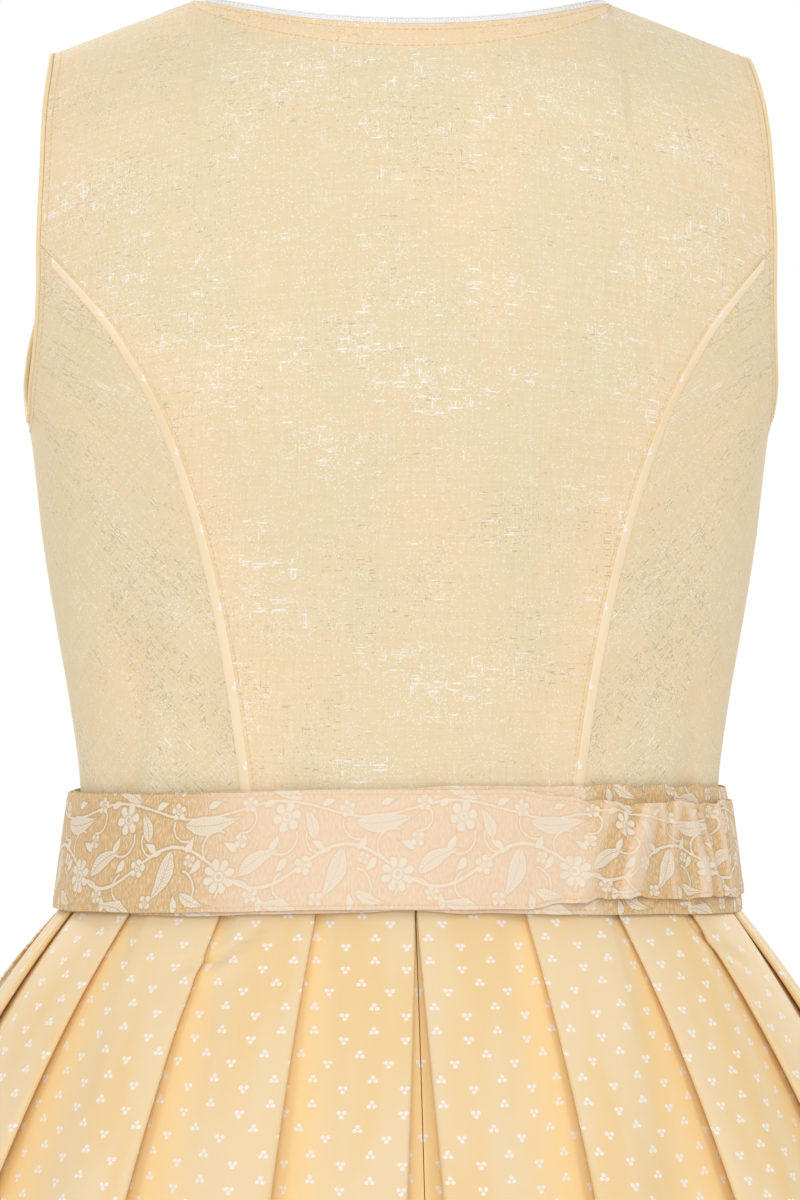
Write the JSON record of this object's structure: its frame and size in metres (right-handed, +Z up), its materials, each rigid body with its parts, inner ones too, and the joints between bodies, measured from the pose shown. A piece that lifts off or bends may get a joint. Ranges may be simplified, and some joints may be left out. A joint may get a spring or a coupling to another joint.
{
  "type": "dirndl dress",
  "caption": "Sleeveless dirndl dress in its worn, hollow form, with a pleated skirt, gathered apron and tie bow.",
  "frame": {"origin": "midway between the two shoulder straps, at the height of their middle, where the wearer's shoulders hold the dress", "axes": "+Z up the body, the front of the dress faces -Y, +X is the wearer's left"},
  "size_m": [0.86, 0.711, 1.085],
  "materials": {
    "bodice_linen": "matt slub weave with silver specks",
    "dotted_print": "satin cotton with small white dots",
    "vine_brocade": "satin jacquard with a raised pale vine",
    "white_edging": "matt cotton",
    "stitching": "matt thread",
    "covered_button": "satin cotton over a button"
  },
  "bodies": {
    "root": {"back_centre": "bodice_linen", "back_side_left": "bodice_linen", "back_side_right": "bodice_linen", "front_left": "bodice_linen", "front_right": "bodice_linen", "front_side_left": "bodice_linen", "front_side_right": "bodice_linen", "seam_piping_left": "dotted_print", "seam_piping_right": "dotted_print", "armhole_edging_left": "bodice_linen", "armhole_edging_right": "bodice_linen", "neck_trim": "white_edging", "skirt_back_left": "dotted_print", "skirt_back_right": "dotted_print", "skirt_front_left": "dotted_print", "skirt_front_right": "dotted_print", "button_1": "covered_button", "button_2": "covered_button", "button_3": "covered_button", "button_4": "covered_button", "button_5": "covered_button", "button_6": "covered_button", "button_7": "covered_button", "apron_band": "vine_brocade", "tie_under": "vine_brocade", "tie_over": "vine_brocade", "apron": "vine_brocade", "bow_knot": "vine_brocade", "bow_loop_left": "vine_brocade", "bow_loop_right": "vine_brocade", "tie_end_left": "vine_brocade", "tie_end_right": "vine_brocade"}
  },
  "joints": []
}
